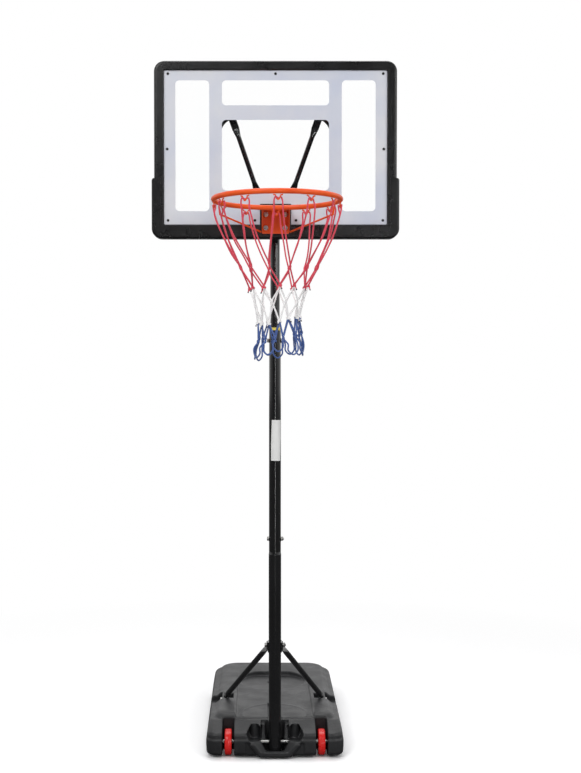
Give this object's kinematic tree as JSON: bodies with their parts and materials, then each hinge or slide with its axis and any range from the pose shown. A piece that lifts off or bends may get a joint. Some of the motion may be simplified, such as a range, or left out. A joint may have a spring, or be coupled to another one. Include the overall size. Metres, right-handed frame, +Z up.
{
  "type": "portable basketball hoop",
  "caption": "Free-standing basketball hoop: a ballast tank on wheels, a telescoping pole on struts, and a framed backboard with a rim and net.",
  "frame": {"origin": "the point on the floor under the axis of the pole, which is also the vertical plane through the wheels' axle", "axes": "+Z up along the pole; -Y towards the player, so the rim lies on the -Y side and the ballast tank on the +Y side; +X to the right of someone who looks along +Y at the board"},
  "size_m": [0.812, 1.349, 2.32],
  "materials": {
    "tank_plastic": "moulded, fine grain",
    "black_plastic": "moulded",
    "zinc_steel": "zinc plated",
    "red_plastic": "gloss, with a parting line",
    "black_paint": "gloss black powder coat",
    "yellow_plastic": "satin",
    "label_film": "plain white sticker",
    "frame_plastic": "satin, moulded",
    "clear_sheet": "clear rigid plastic sheet",
    "pale_film": "pale grey-lavender print",
    "black_screws": "black oxide",
    "orange_paint": "gloss orange powder coat",
    "net_cord": "braided cord in three colours: red above, white in the middle, blue at the foot"
  },
  "bodies": {
    "base": {"base_tank": "tank_plastic", "axle_rod": "zinc_steel", "axle_caps": "zinc_steel", "foot_spacers": "zinc_steel", "lower_pole": "black_paint", "foot_plug": "black_plastic", "middle_pole": "black_paint", "height_collar": "yellow_plastic", "pole_label": "label_film", "pole_joint_bolt": "zinc_steel", "pole_joint_nut": "zinc_steel", "height_nut": "zinc_steel", "strut_bracket": "black_paint", "strut_left": "black_paint", "strut_right": "black_paint", "strut_top_bolt": "zinc_steel", "strut_top_nut": "zinc_steel", "strut_foot_bolts": "zinc_steel", "strut_foot_nuts": "zinc_steel"},
    "upper": {"top_pole": "black_paint", "top_plug": "black_plastic", "backboard_frame": "frame_plastic", "backboard_panel": "clear_sheet", "backboard_print": "pale_film", "panel_screws": "black_screws", "edge_guard": "frame_plastic", "rear_bar": "black_paint", "board_bracket": "black_paint", "rim_plate": "orange_paint", "rim_ring": "orange_paint", "rim_braces": "orange_paint", "net_hooks": "orange_paint", "net": "net_cord", "rim_bolts": "zinc_steel", "rim_nuts": "zinc_steel", "arm_left": "black_paint", "arm_right": "black_paint", "arm_bolts": "zinc_steel", "arm_nuts": "zinc_steel", "bracket_bolts": "zinc_steel", "bracket_nuts": "zinc_steel", "arm_screws": "zinc_steel"},
    "height_pin": {"height_bolt": "zinc_steel"},
    "left_wheel": {"wheel_left": "red_plastic"},
    "right_wheel": {"wheel_right": "red_plastic"},
    "cap": {"filler_cap": "black_plastic"}
  },
  "joints": [
    {"name": "height_slide", "type": "slide", "parent": "base", "child": "upper", "axis": [0, 0, 1], "range_m": [-0.225, 0.225]},
    {"name": "height_bolt_pull", "type": "slide", "parent": "base", "child": "height_pin", "axis": [-1, 0, 0], "range_m": [0, 0.075]},
    {"name": "left_wheel_spin", "type": "hinge", "parent": "base", "child": "left_wheel", "pos_m": [-0.158, 0, 0.046], "axis": [1, 0, 0], "continuous": true},
    {"name": "right_wheel_spin", "type": "hinge", "parent": "base", "child": "right_wheel", "pos_m": [0.158, 0, 0.046], "axis": [1, 0, 0], "continuous": true},
    {"name": "filler_cap_lift", "type": "slide", "parent": "base", "child": "cap", "axis": [0, 0, 1], "range_m": [0, 0.045]}
  ]
}
